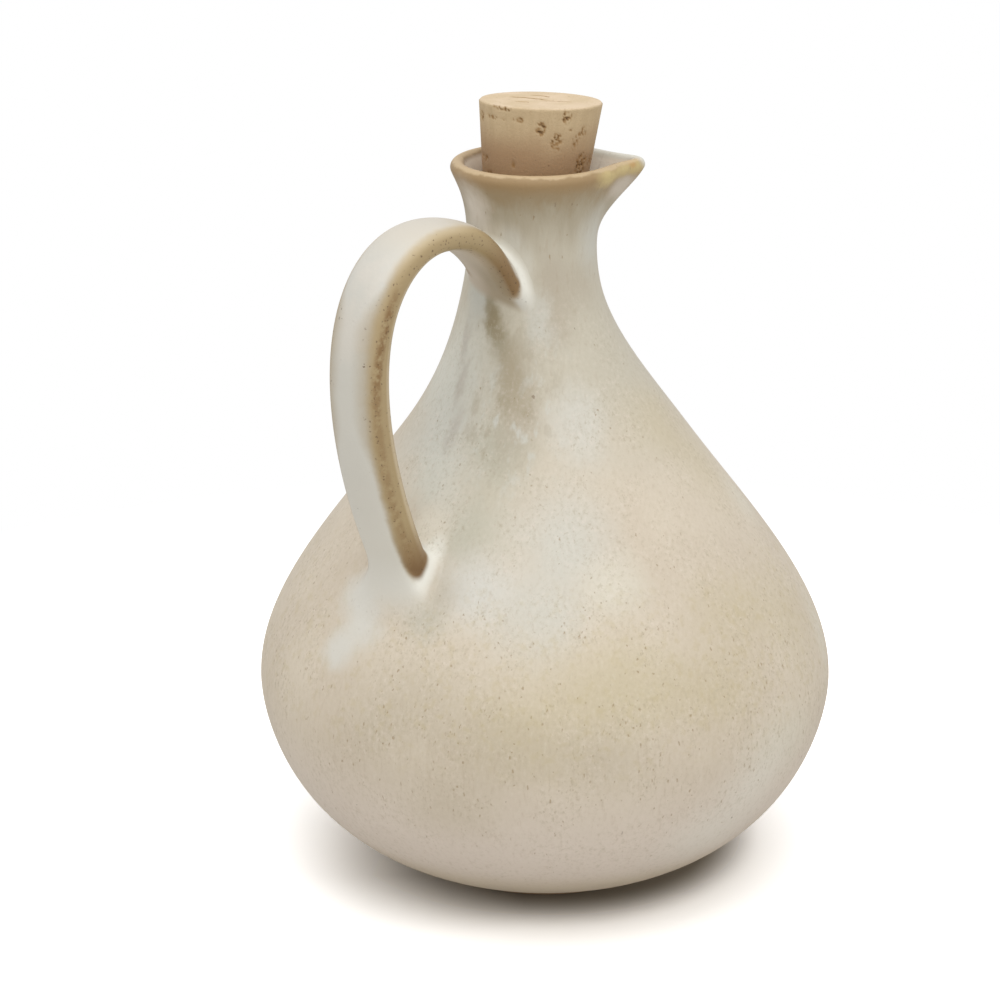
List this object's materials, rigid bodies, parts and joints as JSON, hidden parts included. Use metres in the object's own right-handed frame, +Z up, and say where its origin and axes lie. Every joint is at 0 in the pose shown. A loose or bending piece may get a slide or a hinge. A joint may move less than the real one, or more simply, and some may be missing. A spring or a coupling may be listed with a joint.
{
  "type": "oil cruet",
  "caption": "Teardrop stoneware oil cruet with a flared pouring lip, a pulled strap handle and a tapered cork stopper that lifts out.",
  "frame": {"origin": "centre of the foot ring's underside, on the table", "axes": "+Z up, -X towards the handle, the spout 43 degrees clockwise of +X seen from above"},
  "size_m": [0.12, 0.12, 0.1631],
  "materials": {
    "speckled_glaze": "satin",
    "cork": "matte"
  },
  "bodies": {
    "cruet": {"stoneware_body": "speckled_glaze", "strap_handle": "speckled_glaze"},
    "cork": {"cork_stopper": "cork"}
  },
  "joints": [
    {"name": "cork_lift", "type": "slide", "parent": "cruet", "child": "cork", "axis": [0.0875, -0.0235, 0.9959], "range_m": [0, 0.045]}
  ]
}
